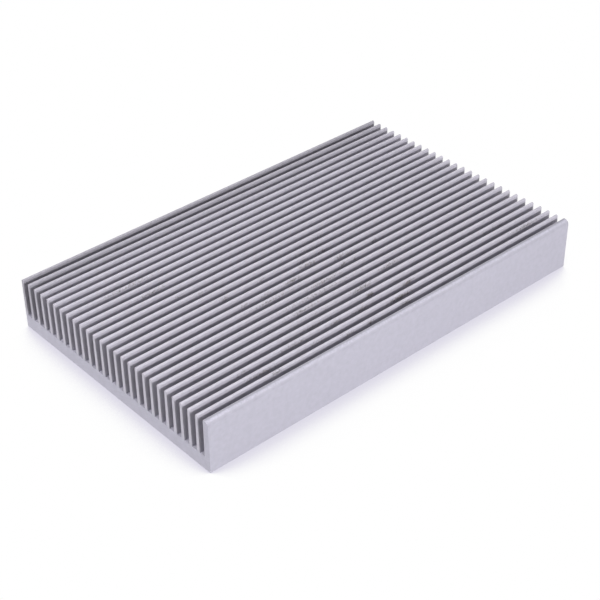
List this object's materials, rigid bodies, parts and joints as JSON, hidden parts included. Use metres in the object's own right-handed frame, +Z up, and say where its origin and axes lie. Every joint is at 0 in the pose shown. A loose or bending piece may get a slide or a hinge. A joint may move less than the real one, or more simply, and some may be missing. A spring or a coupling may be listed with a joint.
{
  "type": "heat sink",
  "caption": "Finned aluminium heat sink cut from an extrusion: a flat base plate with a row of thin tapered fins and one thicker side wall, for cooling a device held against its base.",
  "frame": {"origin": "centre of the flat mounting face under the base plate", "axes": "+X across the fins towards the thick side wall, +Y along the extrusion, +Z up from the mounting face towards the fin tips"},
  "size_m": [0.0932, 0.152, 0.0182],
  "materials": {
    "bare_aluminium": "plain mill-finish aluminium, satin, with faint lines along the extrusion, saw-cut ends and a few small dark specks and brown stains on the fin tips"
  },
  "bodies": {
    "root": {"heat_sink": "bare_aluminium"}
  },
  "joints": []
}
